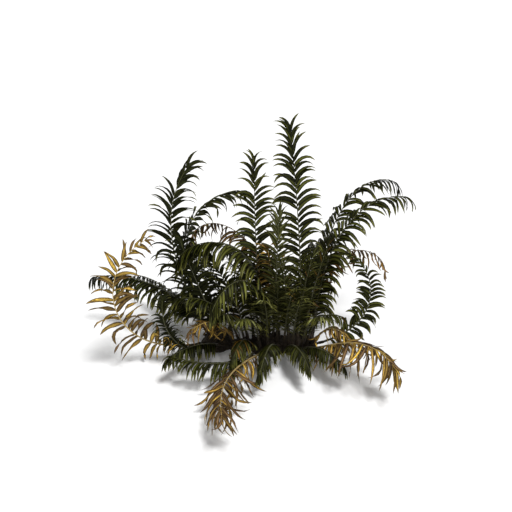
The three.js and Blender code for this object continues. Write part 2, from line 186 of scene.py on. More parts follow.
FRONDS = (
    Frond("right_tall", (0.245, 0.03), 150, 1, 8, 1.48, turn=-60, tone="deep"),
    Frond("middle_tall", (-0.03, 0.04), 160, 6, -6, 1.26, turn=-70, tone="deep"),
    Frond("left_tall", (-0.395, 0.03), 173, 26, -64, 1.32, hook=1.9, turn=85, leaf=1.12, curl=0.7,
          tone="cool"),
    Frond("left_arching", (-0.35, 0.1), 182, 31, -118, 1.32, hook=1.7, turn=20, parts=2, tone="deep"),
    Frond("right_high_back", (0.275, 0.085), 51, 16, 113, 1.42, sweep=-42, hook=4, parts=2, tone="deep"),
    Frond("right_high_front", (0.31, 0.02), 11, 8, 89, 1.32, sweep=-19, hook=2.8, turn=50, roll=-40,
          broad=1.05, parts=2),
    Frond("front_left_arch", (-0.06, -0.02), 190, -4, 150, 1.17, hook=2, leaf=1.3, dense=1.5, parts=2),
    Frond("left_gold", (-0.42, 0.015), 207, 82, -156, 1.36, hook=1.4, turn=76, leaf=0.98, fade=0.35,
          limp=-0.35, broad=1.4, curl=0.4, parts=3, kind="gold", tone="gold"),
    Frond("left_spreading", (-0.43, 0.08), 164, 33, 76, 1.02, hook=0.9, leaf=1.15, broad=1.1, dense=1.2,
          tone="cool"),
    Frond("right_curled", (0.305, -0.045), 348, 62, -131, 0.94, hook=1.4, turn=80, fade=0.45, broad=1.2,
          parts=3, tone="deep"),
    Frond("front_gold", (0.02, -0.085), 233, 77, 11, 1.02, sweep=46, hook=3.8, leaf=1.15, limp=-0.15,
          dense=1.3, kind="gold", tone="spent"),
    Frond("right_gold", (0.265, -0.095), 313, 57, 85, 0.76, hook=3, leaf=1.5, limp=-0.05, dense=1.3,
          kind="gold", tone="dull"),
    Frond("middle_young", (0.035, -0.02), 330, 2, 0, 0.93, turn=-60, limp=-0.4, tone="young"),
    Frond("left_withered", (0.01, 0.1), 148, 0, 153, 1.25, hook=1.8, turn=15, leaf=1.35, parts=2,
          kind="brown", tone="brown"),
    Frond("right_withered", (0.2, 0.08), 10, 12, 160, 1.09, hook=2.1, turn=15, leaf=1.35, kind="brown",
          tone="brown"),
    Frond("front_upright", (0.205, -0.05), 300, 6, 14, 0.72, turn=-45, limp=-0.42, broad=0.8, tone="sunny"),
    Frond("right_upright", (0.26, -0.01), 5, 6, 12, 0.72, turn=-80, limp=-0.42, broad=0.8, tone="rusty"),
    Frond("left_upright", (-0.31, -0.01), 190, 22, -6, 0.8, turn=75, leaf=1.25, broad=1.2, tone="cool"),
    Frond("front_middle_arch", (-0.015, -0.06), 238, 8, 140, 1.06, hook=1.9),
    Frond("front_left_low", (-0.09, -0.075), 260, 72, 10, 0.73, sweep=-103, limp=-0.15, broad=0.9,
          dense=1.3, tone="deep"),
    Frond("left_small", (-0.405, -0.03), 216, 82, -92, 0.62, hook=0.75, turn=70, leaf=0.8, broad=1.2,
          dense=1.4, tone="cool"),
    Frond("front_right_low", (0.12, -0.075), 285, 50, 62, 0.46, hook=1.2, limp=-0.15, broad=0.9, dense=1.3,
          tone="deep"),
    Frond("front_right_side", (0.19, -0.1), 305, 54, 58, 0.46, hook=1.2, limp=-0.15, broad=0.9, dense=1.3,
          tone="deep"),
    Frond("right_inner", (0.275, -0.06), 312, 14, 85, 0.4, sweep=20, hook=1.5, tone="rusty"),
    Frond("front_inner", (0.07, -0.065), 256, 50, 72, 0.52, hook=1.2, limp=-0.15, broad=0.9, dense=1.3,
          tone="deep"),
    Frond("front_short", (0.065, -0.03), 268, 10, 34, 0.6, hook=1.3, limp=-0.42, broad=0.8, tone="sunny"),
    Frond("left_inner", (-0.125, -0.04), 256, 44, 66, 0.42, hook=1.2, limp=-0.15, broad=1.2, tone="rusty"),
    Frond("left_old", (-0.245, -0.02), 232, 28, 75, 0.5, hook=1.3, dense=1.25, kind="gold", tone="dull"),
    Frond("left_young", (-0.3, -0.035), 228, 60, 42, 0.5, hook=1.3, limp=-0.15, broad=1.2, tone="deep"),
    Frond("middle_low", (-0.165, -0.02), 244, 22, 62, 0.54, hook=1.3, limp=-0.42, broad=0.8, tone="sunny"),
    Frond("front_young", (-0.055, -0.085), 250, 22, 52, 0.5, hook=1.3, limp=-0.42, broad=0.8, tone="sunny"),
    Frond("right_young", (0.235, -0.09), 290, 20, 52, 0.5, hook=1.3, limp=-0.42, broad=0.8, tone="sunny"),
    Frond("right_core", (0.15, -0.045), 250, 6, 22, 0.68, turn=45, limp=-0.42, broad=0.8, tone="sunny"),
    Frond("middle_gold", (0.085, 0.04), 200, 5, 6, 0.66, turn=60, kind="gold", tone="gold"),
    Frond("left_core", (-0.255, 0.0), 165, 9, 25, 0.72, turn=60, broad=0.8, tone="deep"),
    Frond("middle_core", (-0.105, 0.05), 150, 6, 30, 0.52, turn=60, broad=0.8, tone="sunny"),
    Frond("front_arch", (0.115, -0.05), 283, 10, 40, 0.6, hook=1.3, limp=-0.42, broad=0.8, tone="sunny"),
    Frond("left_front", (-0.2, -0.035), 218, 20, 60, 0.68, hook=1.3, tone="deep"),
    Frond("right_old", (0.3, -0.09), 320, 27, 138, 0.36, hook=2, limp=-0.1, dense=1.25, kind="gold",
          tone="gold"),
    Frond("middle_fan", (0.0, -0.09), 262, 14, 40, 0.55, hook=1.3, limp=-0.42, broad=0.8, tone="sunny"),
    Frond("right_fan", (0.175, -0.08), 278, 14, 38, 0.55, hook=1.3, limp=-0.42, broad=0.8, tone="sunny"),
    Frond("left_fan", (-0.135, -0.01), 185, 15, 14, 0.66, turn=75, leaf=1.15),
    Frond("back_right", (0.06, 0.06), 60, 30, 65, 0.85, hook=1.4),
    Frond("back_middle", (-0.05, 0.1), 108, 44, 65, 0.92, hook=1.4, tone="deep"),
    Frond("back_left", (-0.385, 0.135), 108, 38, 70, 0.92, hook=1.4),
    Frond("back_right_low", (0.27, 0.13), 82, 46, 60, 0.95, hook=1.4),
    Frond("back_left_gold", (-0.31, 0.09), 72, 50, 60, 0.95, hook=1.3, kind="gold", tone="gold"),
    Frond("back_inner", (0.165, 0.11), 118, 30, 75, 0.85, hook=1.4, tone="deep"),
    Frond("back_left_low", (-0.44, 0.125), 140, 56, 48, 0.8, hook=1.3, tone="cool"),
    Frond("back_right_side", (0.335, 0.07), 75, 50, 50, 0.7, hook=1.3),
)

# The tints that the leaflets of each tone take, and how often each comes
TONES = {
    # The tones mix lit and shaded copies of the leaf green: the sunny tone's pale tints are painted light on
    # the middle fronds, which the crown shades, and the deep tone's dark tints are painted shade
    "plain": {"deep_green": 4, "leaf_green": 4, "olive_green": 3},
    "deep": {"deep_green": 5, "leaf_green": 5},
    "cool": {"blue_green": 5, "deep_green": 4, "leaf_green": 1},
    "sunny": {"olive_green": 5, "leaf_green": 3, "young_green": 5, "deep_green": 1},
    "young": {"young_green": 7, "olive_green": 3},
    "rusty": {"leaf_green": 4, "deep_green": 4, "rusty_green": 2},
    "gold": {"gold": 5, "ochre": 3, "umber": 4},
    "dull": {"ochre": 4, "umber": 5, "gold": 2},
    "spent": {"umber": 6, "ochre": 4, "gold": 1},
    "brown": {"brown": 6, "rust": 4},
}

# A leaflet's cross-sections from its root to its tip: shares of its length, width and thickness
STATIONS = np.array((0, 0.07, 0.18, 0.32, 0.47, 0.62, 0.77, 0.9, 1))
OUTLINE = np.array((0.32, 0.72, 0.96, 1, 0.97, 0.86, 0.66, 0.36, 0))
THICKNESS_ALONG = np.array((1.6, 1.3, 1, 0.95, 0.85, 0.75, 0.6, 0.45, 0))
LEAF_COLUMNS = 12
UNDERSIDES_FROM = LEAF_COLUMNS // 2
COLUMN_FILL = 0.88
MAP_MARGIN = 0.01
LEAF_CREASE = math.radians(60)

# Ribs: the parts of their mesh and their shape
TRACE_STEPS = 160
RIB_SIDES = 8
RIB_LEAST_RINGS = 8
RIB_TAPER = 1.5
RIB_GROOVE = 0.7
RIB_POINT = 3


def unit(vectors):
    """Vectors of length one."""
    return vectors / np.maximum(np.linalg.norm(vectors, axis=-1, keepdims=True), 1e-9)


def mix(low, high, share):
    """A value between two others."""
    return low + (high - low) * share


def direction(heading, tilt):
    """Unit vector at a tilt from upright, towards a heading from +X, in degrees."""
    heading = np.radians(heading)
    tilt = np.radians(tilt)
    return np.stack((np.sin(tilt) * np.cos(heading), np.sin(tilt) * np.sin(heading), np.cos(tilt)), -1)


def turned(vectors, axes, angles):
    """Vectors turned about unit axes by angles in radians."""
    cosine = np.cos(angles)[..., None]
    sine = np.sin(angles)[..., None]
    dot = np.sum(vectors * axes, -1, keepdims=True)
    return vectors * cosine + np.cross(axes, vectors) * sine + axes * dot * (1 - cosine)


def frond_frame(frond, shares):
    """A frond's direction, and the side its blade spreads to, at shares of its length."""
    shares = np.asarray(shares, float)
    heading = frond.heading + frond.sweep * shares
    along = direction(heading, frond.lean + frond.arch * shares**frond.hook)
    side = direction(heading + 90, np.full_like(shares, 90))
    return along, turned(side, along, np.radians(frond.turn + frond.roll * shares))


def trace_rib(frond):
    """Points down the middle of a frond's rib, from its stalk base's end to its tip."""
    middles = (np.arange(TRACE_STEPS) + 0.5) / TRACE_STEPS
    along, _ = frond_frame(frond, middles)
    start, _ = frond_frame(frond, 0)
    foot = np.array((*frond.foot, FOOT_HEIGHT)) + start * STUB_LENGTH
    return np.vstack((foot, foot + np.cumsum(along * (frond.length / TRACE_STEPS), 0)))


def rib_points(points, shares):
    """Points on a traced rib at shares of its length."""
    places = np.arange(len(points)) / (len(points) - 1)
    return np.stack([np.interp(shares, places, points[:, axis]) for axis in range(3)], -1)


class Clearing:
    """What leaflets keep clear of: the other fronds' ribs, the stem and the ground."""

    def __init__(self):
        self.ribs = [trace_rib(frond) for frond in FRONDS]
        self.tree = KDTree(sum(len(points) for points in self.ribs))
        self.owners = np.repeat(np.arange(len(FRONDS)), [len(points) for points in self.ribs])
        for index, point in enumerate(np.vstack(self.ribs)):
            self.tree.insert(Vector(point), index)
        self.tree.balance()

    def is_free(self, owner, rings):
        """Whether a leaflet meets none of these, apart from its root."""
        if rings[:, 2].min() < GROUND_CLEARANCE:
            return False
        centres = rings[:-1].reshape(-1, 4, 3)[ROOT_RINGS:].mean(1)
        for (x, y), (a, b, c) in CROWNS:
            depth = ((centres - (x, y, 0)) / (a, b, c)) ** 2
            if depth.sum(1).min() < 1:
                return False
        near = (hit[1] for centre in centres for hit in self.tree.find_range(Vector(centre), RIB_CLEARANCE))
        return all(self.owners[index] == owner for index in near)


def leaflet_profile(share):
    """Leaflet length as a share of the frond's longest: long below the middle, short at the tip."""
    climb = (share - BARE_STALK) / (1 - BARE_STALK)
    return math.sin(math.pi * mix(PROFILE_FROM, PROFILE_TO, climb)) ** PROFILE_FULLNESS


class Mood(NamedTuple):
    """One leaflet's own small departures from the rule."""

    length: float
    angle: float
    droop: float
    hang: float  # how far of the way down it may bend
    twist: float  # how far it faces the sky at its tip
    roll: float  # its turn about itself by the tip
    phase: float
    ripple: float  # height of the waves in its margins
    curl: np.ndarray


def leaflet_rings(frond, points, share, hand, size, mood, sizes):
    """Points of a leaflet: four to a cross-section (left, top, right, under), and one at its tip."""
    along, side = frond_frame(frond, share)
    kind = KINDS[frond.kind]
    late = share**ANGLE_HOLD
    angle = math.radians(mix(LOW_ANGLE, TIP_ANGLE, late) + kind.spread + mood.angle)
    level = 1 - max(0, along[2])
    outward = unit(unit(along * math.cos(angle) + side * hand * math.sin(angle)) + DOWN * ROOT_SAG * level)
    droop = DROOP_UPRIGHT + kind.droop + frond.limp + DROOP_ARCHING * level
    pull = droop * mood.droop * (1 - TIP_STIFFNESS * late)
    most = mood.hang * math.acos(np.clip(outward @ DOWN, -1, 1))
    bend = np.minimum(most, pull * math.radians(BEND) * STATIONS**BEND_POWER)
    heading = turned(np.tile(outward, (len(STATIONS), 1)), unit(np.cross(outward, DOWN)), bend)
    heading = turned(heading, unit(mood.curl), np.linalg.norm(mood.curl) * STATIONS**CURL_POWER)
    longest = LONGEST_BASE + LONGEST_SHARE * frond.length
    full = kind.reach * frond.leaf * (1 - frond.fade * share) * longest
    length = size * mood.length * full * leaflet_profile(share)
    steps = unit(heading[:-1] + heading[1:]) * (np.diff(STATIONS) * length)[:, None]
    root = rib_points(points, share)
    centre = root + np.vstack((np.zeros(3), np.cumsum(steps, 0)))
    blade = np.cross(along, side)
    flat = unit(blade - heading * (heading @ blade)[:, None])
    sky = unit(UP - heading * (heading @ UP)[:, None])
    facing = (mood.twist * STATIONS)[:, None]
    top = turned(unit(flat * (1 - facing) + sky * facing), heading, mood.roll * STATIONS)
    across = np.cross(heading, top)
    fullness = min(1, LEAST_WIDTH + length / FULL_WIDTH_LENGTH)
    width = sizes.leaflet_width * kind.width * frond.broad * fullness
    half = (width / 2 * OUTLINE)[:, None]
    thick = (max(sizes.leaflet_thickness, THICKNESS_SHARE * length) / 2 * THICKNESS_ALONG)[:, None]
    wave = mood.ripple * width * (OUTLINE * np.sin(LEFT_RIPPLES * STATIONS + mood.phase))[:, None]
    counter = mood.ripple * width * (OUTLINE * np.sin(RIGHT_RIPPLES * STATIONS + 2 * mood.phase))[:, None]
    lift = sizes.leaflet_fold * half
    left = centre - across * half + top * (lift + wave)
    right = centre + across * half + top * (lift - counter)
    rings = np.stack((left, centre + top * thick, right, centre - top * thick), 1)
    return np.vstack((rings[:-1].reshape(-1, 3), centre[-1:]))


def leaflet_faces():
    """Faces of one leaflet as rows of point numbers, with each corner's place and whether it is below."""
    rings = len(STATIONS) - 1
    tip = rings * 4
    faces = [(0, 3, 2, 1)]
    across = {0: -0.5, 1: 0, 2: 0.5, 3: 0}
    under = [True]
    for ring in range(rings):
        left, top, right, below = range(ring * 4, ring * 4 + 4)
        pairs = ((left, top, False), (top, right, False), (below, left, True), (right, below, True))
        for one, other, hidden in pairs:
            last = ring == rings - 1
            faces.append((one, other, tip) if last else (one, other, other + 4, one + 4))
            under.append(hidden)
    corners = []
    for face, hidden in zip(faces, under):
        middle = sum(across[point % 4] for point in face if point != tip) / 2
        for point in face:
            place = middle if point == tip else across[point % 4]
            along = STATIONS[-1] if point == tip else STATIONS[point // 4]
            corners.append((place, along, hidden))
    return faces, np.array(corners, float)


def mesh_from_arrays(name, points, faces, uvs):
    """A smooth mesh object at the origin from points, faces and one UV place for each face corner."""
    mesh = bpy.data.meshes.new(name)
    sizes = np.array([len(face) for face in faces])
    corners = np.concatenate([np.asarray(face) for face in faces])
    mesh.vertices.add(len(points))
    mesh.vertices.foreach_set("co", np.asarray(points, np.float32).ravel())
    mesh.loops.add(len(corners))
    mesh.loops.foreach_set("vertex_index", corners.astype(np.int32))
    mesh.polygons.add(len(faces))
    starts = np.concatenate(((0,), np.cumsum(sizes)[:-1]))
    mesh.polygons.foreach_set("loop_start", starts.astype(np.int32))
    layer = mesh.uv_layers.new(name=LEAF_MAP)
    layer.data.foreach_set("uv", np.asarray(uvs, np.float32).ravel())
    mesh.update(calc_edges=True)
    if mesh.validate():
        raise RuntimeError(f"{name} has faulty faces")
    piece = bpy.data.objects.new(name, mesh)
    bpy.context.collection.objects.link(piece)
    bpy.ops.object.select_all(action="DESELECT")
    piece.select_set(True)
    bpy.context.view_layer.objects.active = piece
    bpy.ops.object.shade_smooth_by_angle(angle=LEAF_CREASE)
    return piece


def map_along(share):
    """A place along the leaf map, inside its margins."""
    return MAP_MARGIN + (1 - 2 * MAP_MARGIN) * share


def grow_leaflets(kind, sizes):
    """Rings of all leaflets on one kind of frond, as lists of (rings, column, frond) for each tint."""
    clearing = Clearing()
    grown = {}
    for owner, frond in enumerate(FRONDS):
        if frond.kind != kind:
            continue
        chance = np.random.default_rng(sizes.seed + owner)
        rule = KINDS[kind]
        tints = list(TONES[frond.tone])
        odds = np.array(list(TONES[frond.tone].values()), float)
        spacing = rule.spacing / frond.dense * (sizes.leaflet_spacing + sizes.leaflet_spread * frond.length)
        pairs = round((1 - BARE_STALK) * frond.length / spacing)
        places = [(TIP_LEAFLET_AT, 0)]
        for pair in range(pairs):
            for hand in (-1, 1):
                shift = pair + 0.5 + STAGGER * hand + chance.normal(0, PLACE_SCATTER * rule.disorder)
                places.append((min(mix(BARE_STALK, 1, shift / pairs), TIP_LEAFLET_AT), hand))
        for share, hand in places:
            mood = Mood(
                length=1 - abs(chance.normal(0, LENGTH_SCATTER * rule.disorder)),
                angle=chance.normal(0, LEAST_ANGLE_SCATTER + ANGLE_SCATTER * rule.disorder),
                droop=1 + chance.normal(0, LEAST_DROOP_SCATTER + DROOP_SCATTER * rule.disorder),
                hang=chance.uniform(*HANG_RANGE),
                twist=np.clip(USUAL_TWIST + chance.normal(0, TWIST_SCATTER * rule.disorder), 0, 1),
                roll=chance.normal(0, ROLL_SCATTER * rule.disorder**ROLL_DISORDER_POWER),
                phase=chance.uniform(*PHASE_RANGE),
                ripple=RIPPLE * rule.disorder,
                curl=chance.normal(0, CURL_SCATTER * frond.curl * rule.disorder**CURL_DISORDER_POWER, 3),
            )
            tint = tints[chance.choice(len(tints), p=odds / odds.sum())]
            column = int(chance.integers(UNDERSIDES_FROM))
            if hand and chance.random() < rule.missing:
                continue
            for size in SHORTER_TRIES:
                rings = leaflet_rings(frond, clearing.ribs[owner], share, hand, size, mood, sizes)
                if clearing.is_free(owner, rings):
                    grown.setdefault(tint, []).append((rings, column, frond))
                    break
    return grown


def leaflet_piece(name, leaflets):
    """One mesh of many leaflets, all laid on the same few strips of the leaf map."""
    faces, corners = leaflet_faces()
    points_each = len(leaflets[0][0])
    rows = []
    uvs = []
    for index, (_, column, _) in enumerate(leaflets):
        rows.extend([tuple(np.asarray(face) + index * points_each) for face in faces])
        strip = column + UNDERSIDES_FROM * corners[:, 2]
        across = (strip + 0.5 + corners[:, 0] * COLUMN_FILL) / LEAF_COLUMNS
        uvs.append(np.stack((across, map_along(corners[:, 1])), -1))
    piece = mesh_from_arrays(name, np.vstack([rings for rings, _, _ in leaflets]), rows, np.vstack(uvs))
    return piece, sorted({node for _, _, frond in leaflets for node in frond.nodes()})


def rib_place(owner, share, step):
    """The place on the leaf map of one corner of a rib's cross-section."""
    across = owner % LEAF_COLUMNS + (1 - COLUMN_FILL) / 2 + COLUMN_FILL * step / RIB_SIDES
    return across / LEAF_COLUMNS, map_along(share)


def rib_piece(name, kind, sizes):
    """One mesh of the ribs of all fronds of a kind, each sunk into its stalk base and ending in a point."""
    points = []
    faces = []
    uvs = []
    for owner, frond in enumerate(FRONDS):
        if frond.kind != kind:
            continue
        count = max(RIB_LEAST_RINGS, round(frond.length / sizes.rib_step))
        shares = np.linspace(0, 1, count + 1) * TIP_LEAFLET_AT
        along, side = frond_frame(frond, shares)
        centre = rib_points(trace_rib(frond), shares)
        centre[0] -= along[0] * sizes.rib_root
        radius = mix(sizes.rib_tip_radius, sizes.rib_foot_radius, (1 - shares) ** RIB_TAPER)
        upper = np.cross(along, side)
        first = sum(len(block) for block in points)
        turn = np.arange(RIB_SIDES) / RIB_SIDES * 2 * math.pi
        groove = np.where(np.arange(RIB_SIDES) == RIB_SIDES // 4, RIB_GROOVE, 1)
        aside = (np.cos(turn) * groove)[:, None] * side[:, None]
        above = (np.sin(turn) * groove)[:, None] * upper[:, None]
        points.append((centre[:, None] + (aside + above) * radius[:, None, None]).reshape(-1, 3))
        points.append(centre[-1:] + along[-1:] * radius[-1] * RIB_POINT)
        tip = first + (count + 1) * RIB_SIDES
        faces.append(tuple(first + step for step in range(RIB_SIDES)))
        uvs.extend(rib_place(owner, 0, step) for step in range(RIB_SIDES))
        for ring in range(count + 1):
            for step in range(RIB_SIDES):
                one = first + ring * RIB_SIDES + step
                other = first + ring * RIB_SIDES + (step + 1) % RIB_SIDES
                if ring == count:
                    faces.append((other, one, tip))
                else:
                    faces.append((other, one, one + RIB_SIDES, other + RIB_SIDES))
                corners = ((0, 1), (0, 0), (1, 0), (1, 1))[:len(faces[-1])]
                uvs.extend(rib_place(owner, (ring + up) / (count + 1), step + on) for up, on in corners)
    return mesh_from_arrays(name, np.vstack(points), faces, uvs)


class Value:
    """A shader socket that takes part in Python expressions."""

    def __init__(self, finish, socket):
        self.finish = finish
        self.socket = socket

    def maths(self, operation, *terms):
        """The result of a Math node."""
        inputs = dict(enumerate(terms))
        return self.finish.node("ShaderNodeMath", {"operation": operation}, inputs)

    def __add__(self, other):
        return self.maths("ADD", self, other)

    def __radd__(self, other):
        return self.maths("ADD", other, self)

    def __sub__(self, other):
        return self.maths("SUBTRACT", self, other)

    def __rsub__(self, other):
        return self.maths("SUBTRACT", other, self)

    def __mul__(self, other):
        return self.maths("MULTIPLY", self, other)

    def __rmul__(self, other):
        return self.maths("MULTIPLY", other, self)

    def __truediv__(self, other):
        return self.maths("DIVIDE", self, other)

    def __gt__(self, other):
        return self.maths("GREATER_THAN", self, other)

    def __abs__(self):
        return self.maths("ABSOLUTE", self)


class Finish:
    """A material, with one method that makes its nodes."""

    def __init__(self, name):
        self.material = bpy.data.materials.new(name)
        self.material.use_nodes = True
        self.tree = self.material.node_tree
        self.tree.nodes.clear()

    def node(self, kind, settings, inputs, output=0):
        """Makes a node, sets it up, fills or links its sockets, and gives one output."""
        made = self.tree.nodes.new(kind)
        for key, setting in settings.items():
            setattr(made, key, setting)
        for key, value in inputs.items():
            if isinstance(value, Value):
                self.tree.links.new(value.socket, made.inputs[key])
            else:
                made.inputs[key].default_value = value
        return Value(self, made.outputs[output]) if made.outputs else None

    def ease(self, value, low, high):
        """0 below low, 1 above high, and smooth between."""
        settings = {"interpolation_type": "SMOOTHSTEP"}
        return self.node("ShaderNodeMapRange", settings, {"Value": value, "From Min": low, "From Max": high})

    def blend(self, share, one, other):
        """A colour between two others. A plain colour is three numbers."""
        colours = [part if isinstance(part, Value) else (*part, 1) for part in (one, other)]
        inputs = {0: share, 6: colours[0], 7: colours[1]}
        return self.node("ShaderNodeMix", {"data_type": "RGBA"}, inputs, 2)

    def scaled(self, colour, share):
        """A colour made brighter or darker by a value."""
        return self.node("ShaderNodeVectorMath", {"operation": "SCALE"}, {0: colour, "Scale": share})

    def noise(self, place, scale, detail=3.0):
        """Soft noise about 0.5 at a place."""
        return self.node("ShaderNodeTexNoise", {}, {"Vector": place, "Scale": scale, "Detail": detail})

    def place(self, across, along, number, stretch):
        """A place on the leaf map, stretched across, along and from strip to strip."""
        values = (value * share for value, share in zip((across, along, number), stretch))
        return self.node("ShaderNodeCombineXYZ", {}, dict(enumerate(values)))

    def strip(self):
        """On the leaf map: the strip's number, the place across it from -0.5 to 0.5, and along it."""
        leaf = self.node("ShaderNodeUVMap", {"uv_map": LEAF_MAP}, {})
        across = self.node("ShaderNodeSeparateXYZ", {}, {0: leaf}) * LEAF_COLUMNS
        along = self.node("ShaderNodeSeparateXYZ", {}, {0: leaf}, 1)
        number = across.maths("FLOOR", across)
        return number, (across - number - 0.5) / COLUMN_FILL, along

    def done(self, colour, roughness, height, depth, sheen):
        """Joins colour, roughness and relief in the finished surface."""
        bump = self.node("ShaderNodeBump", {}, {"Strength": 1.0, "Distance": depth, "Height": height})
        inputs = {"Base Color": colour, "Roughness": roughness, "Normal": bump, "Specular IOR Level": sheen}
        surface = self.node("ShaderNodeBsdfPrincipled", {}, inputs)
        self.node("ShaderNodeOutputMaterial", {}, {"Surface": surface})
        return self.material


def times(colour, share):
    """A plain colour made brighter or darker."""
    return tuple(part * share for part in colour)


# Leaf pattern: shares of a leaflet's width off its midrib and of its length along it
LEAF_GRAIN = (1.2, 8, 5.3)
MOTTLE_SCALE = 3.1
PATCH_SCALE = 0.9
VEINS = 150
VEIN_SLANT = 30
VEIN_CONTRAST = 0.07
PATCH_RANGE = (0.55, 1.5)
DARKEST_STRIP = 0.35
STRIP_CONTRAST = 1.5
MOTTLE_RANGE = (0.35, 0.8)
MARGIN_WOBBLE = 0.35
MARGIN_SOFTNESS = 0.16
TIP_WOBBLE = 0.3
TIP_SOFTNESS = 0.2
MIDRIB_RANGE = (0.018, 0.05)
# Painted light: each leaflet is lighter along its middle as a painted highlight and darker towards its
# margins as painted shade
PAINTED_LIGHT_WOBBLE = 0.2
PAINTED_LIGHT_RANGE = (0.06, 0.4)
# Painted shade: leaflets darken towards their root by the rib, over this share of their length
ROOT_REACH = 0.4
ROOT_SHADE = 0.5
MOTTLE_ROUGHNESS = 0.25
UNDERSIDE_ROUGHNESS = 0.15
VEIN_HEIGHT = 0.12
MOTTLE_HEIGHT = 0.6
MIDRIB_DEPTH = 0.8
LEAF_RELIEF = 0.0012


def leaf_finish(name, base, look):
    """Leathery leaf: a pale midrib, fine side veins, mottling, a tinted margin and tip, an underside darkened
    as painted shade on green leaflets and tinted on dry ones, a painted highlight along the middle with
    painted shade towards the margins, and painted shade at the root.
    """
    finish = Finish(name)
    number, across, along = finish.strip()
    off = abs(across)
    grain = finish.place(across, along, number, LEAF_GRAIN)
    mottle = finish.noise(grain, MOTTLE_SCALE)
    patches = finish.noise(grain, PATCH_SCALE, 1.0)
    odd = finish.node("ShaderNodeTexWhiteNoise", {"noise_dimensions": "1D"}, {"W": number + 0.37})
    dark, pale = (times(base, share) for share in PATCH_RANGE)
    colour = finish.scaled(finish.blend(patches, dark, pale), DARKEST_STRIP + STRIP_CONTRAST * odd)
    colour = finish.blend(finish.ease(mottle, *MOTTLE_RANGE) * look["mottle"], colour, look["mottle_colour"])
    phase = along * VEINS - off * VEIN_SLANT
    veins = phase.maths("SINE", phase)
    colour = finish.scaled(colour, 1 + VEIN_CONTRAST * veins)
    margin_from = look["margin_at"]
    margin = finish.ease(off + (mottle - 0.5) * MARGIN_WOBBLE, margin_from, margin_from + MARGIN_SOFTNESS)
    colour = finish.blend(margin * look["margin"], colour, look["margin_colour"])
    tip = finish.ease(along + (mottle - 0.5) * TIP_WOBBLE, look["tip_at"], look["tip_at"] + TIP_SOFTNESS)
    colour = finish.blend(tip * look["tip"], colour, look["tip_colour"])
    midrib = 1 - finish.ease(off, *MIDRIB_RANGE)
    colour = finish.blend(midrib * look["midrib"], colour, look["midrib_colour"])
    # Painted highlight along the leaflet's middle and painted shade towards its margins, wobbled by the
    # patches
    shade_towards_margin = finish.ease(off + (patches - 0.5) * PAINTED_LIGHT_WOBBLE, *PAINTED_LIGHT_RANGE)
    # Painted shade darkens each leaflet towards its root, where the rib and the other leaflets would shade it
    root = 1 - finish.ease(along, 0.0, ROOT_REACH)
    painted_light = look["painted_light"]
    colour = finish.scaled(colour, (1 + painted_light - 2 * painted_light * shade_towards_margin) * (1 - ROOT_SHADE * root))
    # Undersides: darkened as painted shade on green leaflets, a tan tint on dry ones
    below = number > UNDERSIDES_FROM - 0.5
    colour = finish.blend(below * look["under"], colour, look["underside_tint_and_shade"])
    roughness = look["roughness"] + (mottle - 0.5) * MOTTLE_ROUGHNESS + below * UNDERSIDE_ROUGHNESS
    height = veins * VEIN_HEIGHT + mottle * MOTTLE_HEIGHT - midrib * MIDRIB_DEPTH
    return finish.done(colour, roughness, height, LEAF_RELIEF, look["sheen"])


# Rib pattern: how streaks and scales are stretched, and shares of a rib's length
RIB_STREAKS = (9, 3, 2.7)
RIB_SCALES = (5, 60, 4.1)
FOOT_RANGE = (0.02, 0.2)
RIB_TIP_RANGE = (0.55, 1.0)
SCALES_RANGE = (0.05, 0.3)
RIB_ROUGHNESS = 0.5
RIB_RELIEF = 0.001
DARK_SHARE = 0.4  # of the colour, on scales and between the bark's fibres

# Bark pattern
FIBRE_STRETCH = (1.0, 1.0, 0.25)
FIBRE_SCALE = 150.0
LUMP_SCALE = 22.0
FIBRE_RANGE = (0.35, 0.7)
LUMP_RANGE = (0.52, 0.75)
BARK_ROUGHNESS = 0.75
BARK_RELIEF = 0.004


def rib_finish(name, foot, middle, tip):
    """Grooved rib: dark and scaly at the foot, the dark partly painted shade, pale and smooth above, with
    long streaks.
    """
    finish = Finish(name)
    number, across, along = finish.strip()
    streaks = finish.noise(finish.place(across, along, number, RIB_STREAKS), 2.2)
    scales = finish.noise(finish.place(across, along, number, RIB_SCALES), 1.7)
    colour = finish.blend(finish.ease(along + (streaks - 0.5) * 0.2, *FOOT_RANGE), foot, middle)
    colour = finish.blend(finish.ease(along, *RIB_TIP_RANGE), colour, tip)
    colour = finish.scaled(colour, 0.65 + 0.7 * streaks)
    scaly = (1 - finish.ease(along, *SCALES_RANGE)) * finish.ease(scales, 0.5, 0.7) * 0.6
    colour = finish.blend(scaly, colour, times(foot, DARK_SHARE))
    roughness = RIB_ROUGHNESS + (scales - 0.5) * 0.3
    return finish.done(colour, roughness, streaks + scales * 0.5, RIB_RELIEF, 0.4)


def bark_finish(name, bark, pale):
    """Fibrous bark of matted old roots and scales."""
    finish = Finish(name)
    place = finish.node("ShaderNodeTexCoord", {}, {}, 3)
    stretch = finish.node("ShaderNodeMapping", {}, {"Vector": place, "Scale": FIBRE_STRETCH})
    fibres = finish.noise(stretch, FIBRE_SCALE, 6.0)
    lumps = finish.noise(place, LUMP_SCALE)
    colour = finish.blend(finish.ease(fibres, *FIBRE_RANGE), times(bark, DARK_SHARE), tuple(bark))
    colour = finish.blend(finish.ease(lumps, *LUMP_RANGE) * 0.5, colour, tuple(pale))
    roughness = BARK_ROUGHNESS + 0.3 * (fibres - 0.5)
    return finish.done(colour, roughness, fibres + 0.4 * lumps, BARK_RELIEF, 0.25)


def floor_finish(name, colour):
    """Plain pale studio floor."""
    finish = Finish(name)
    place = finish.node("ShaderNodeTexCoord", {}, {}, 3)
    grain = finish.noise(place, 0.8, 2.0)
    tone = finish.scaled(tuple(colour), 0.99 + 0.02 * grain)
    return finish.done(tone, 0.9 + 0.05 * grain, grain, 0.0005, 0.1)
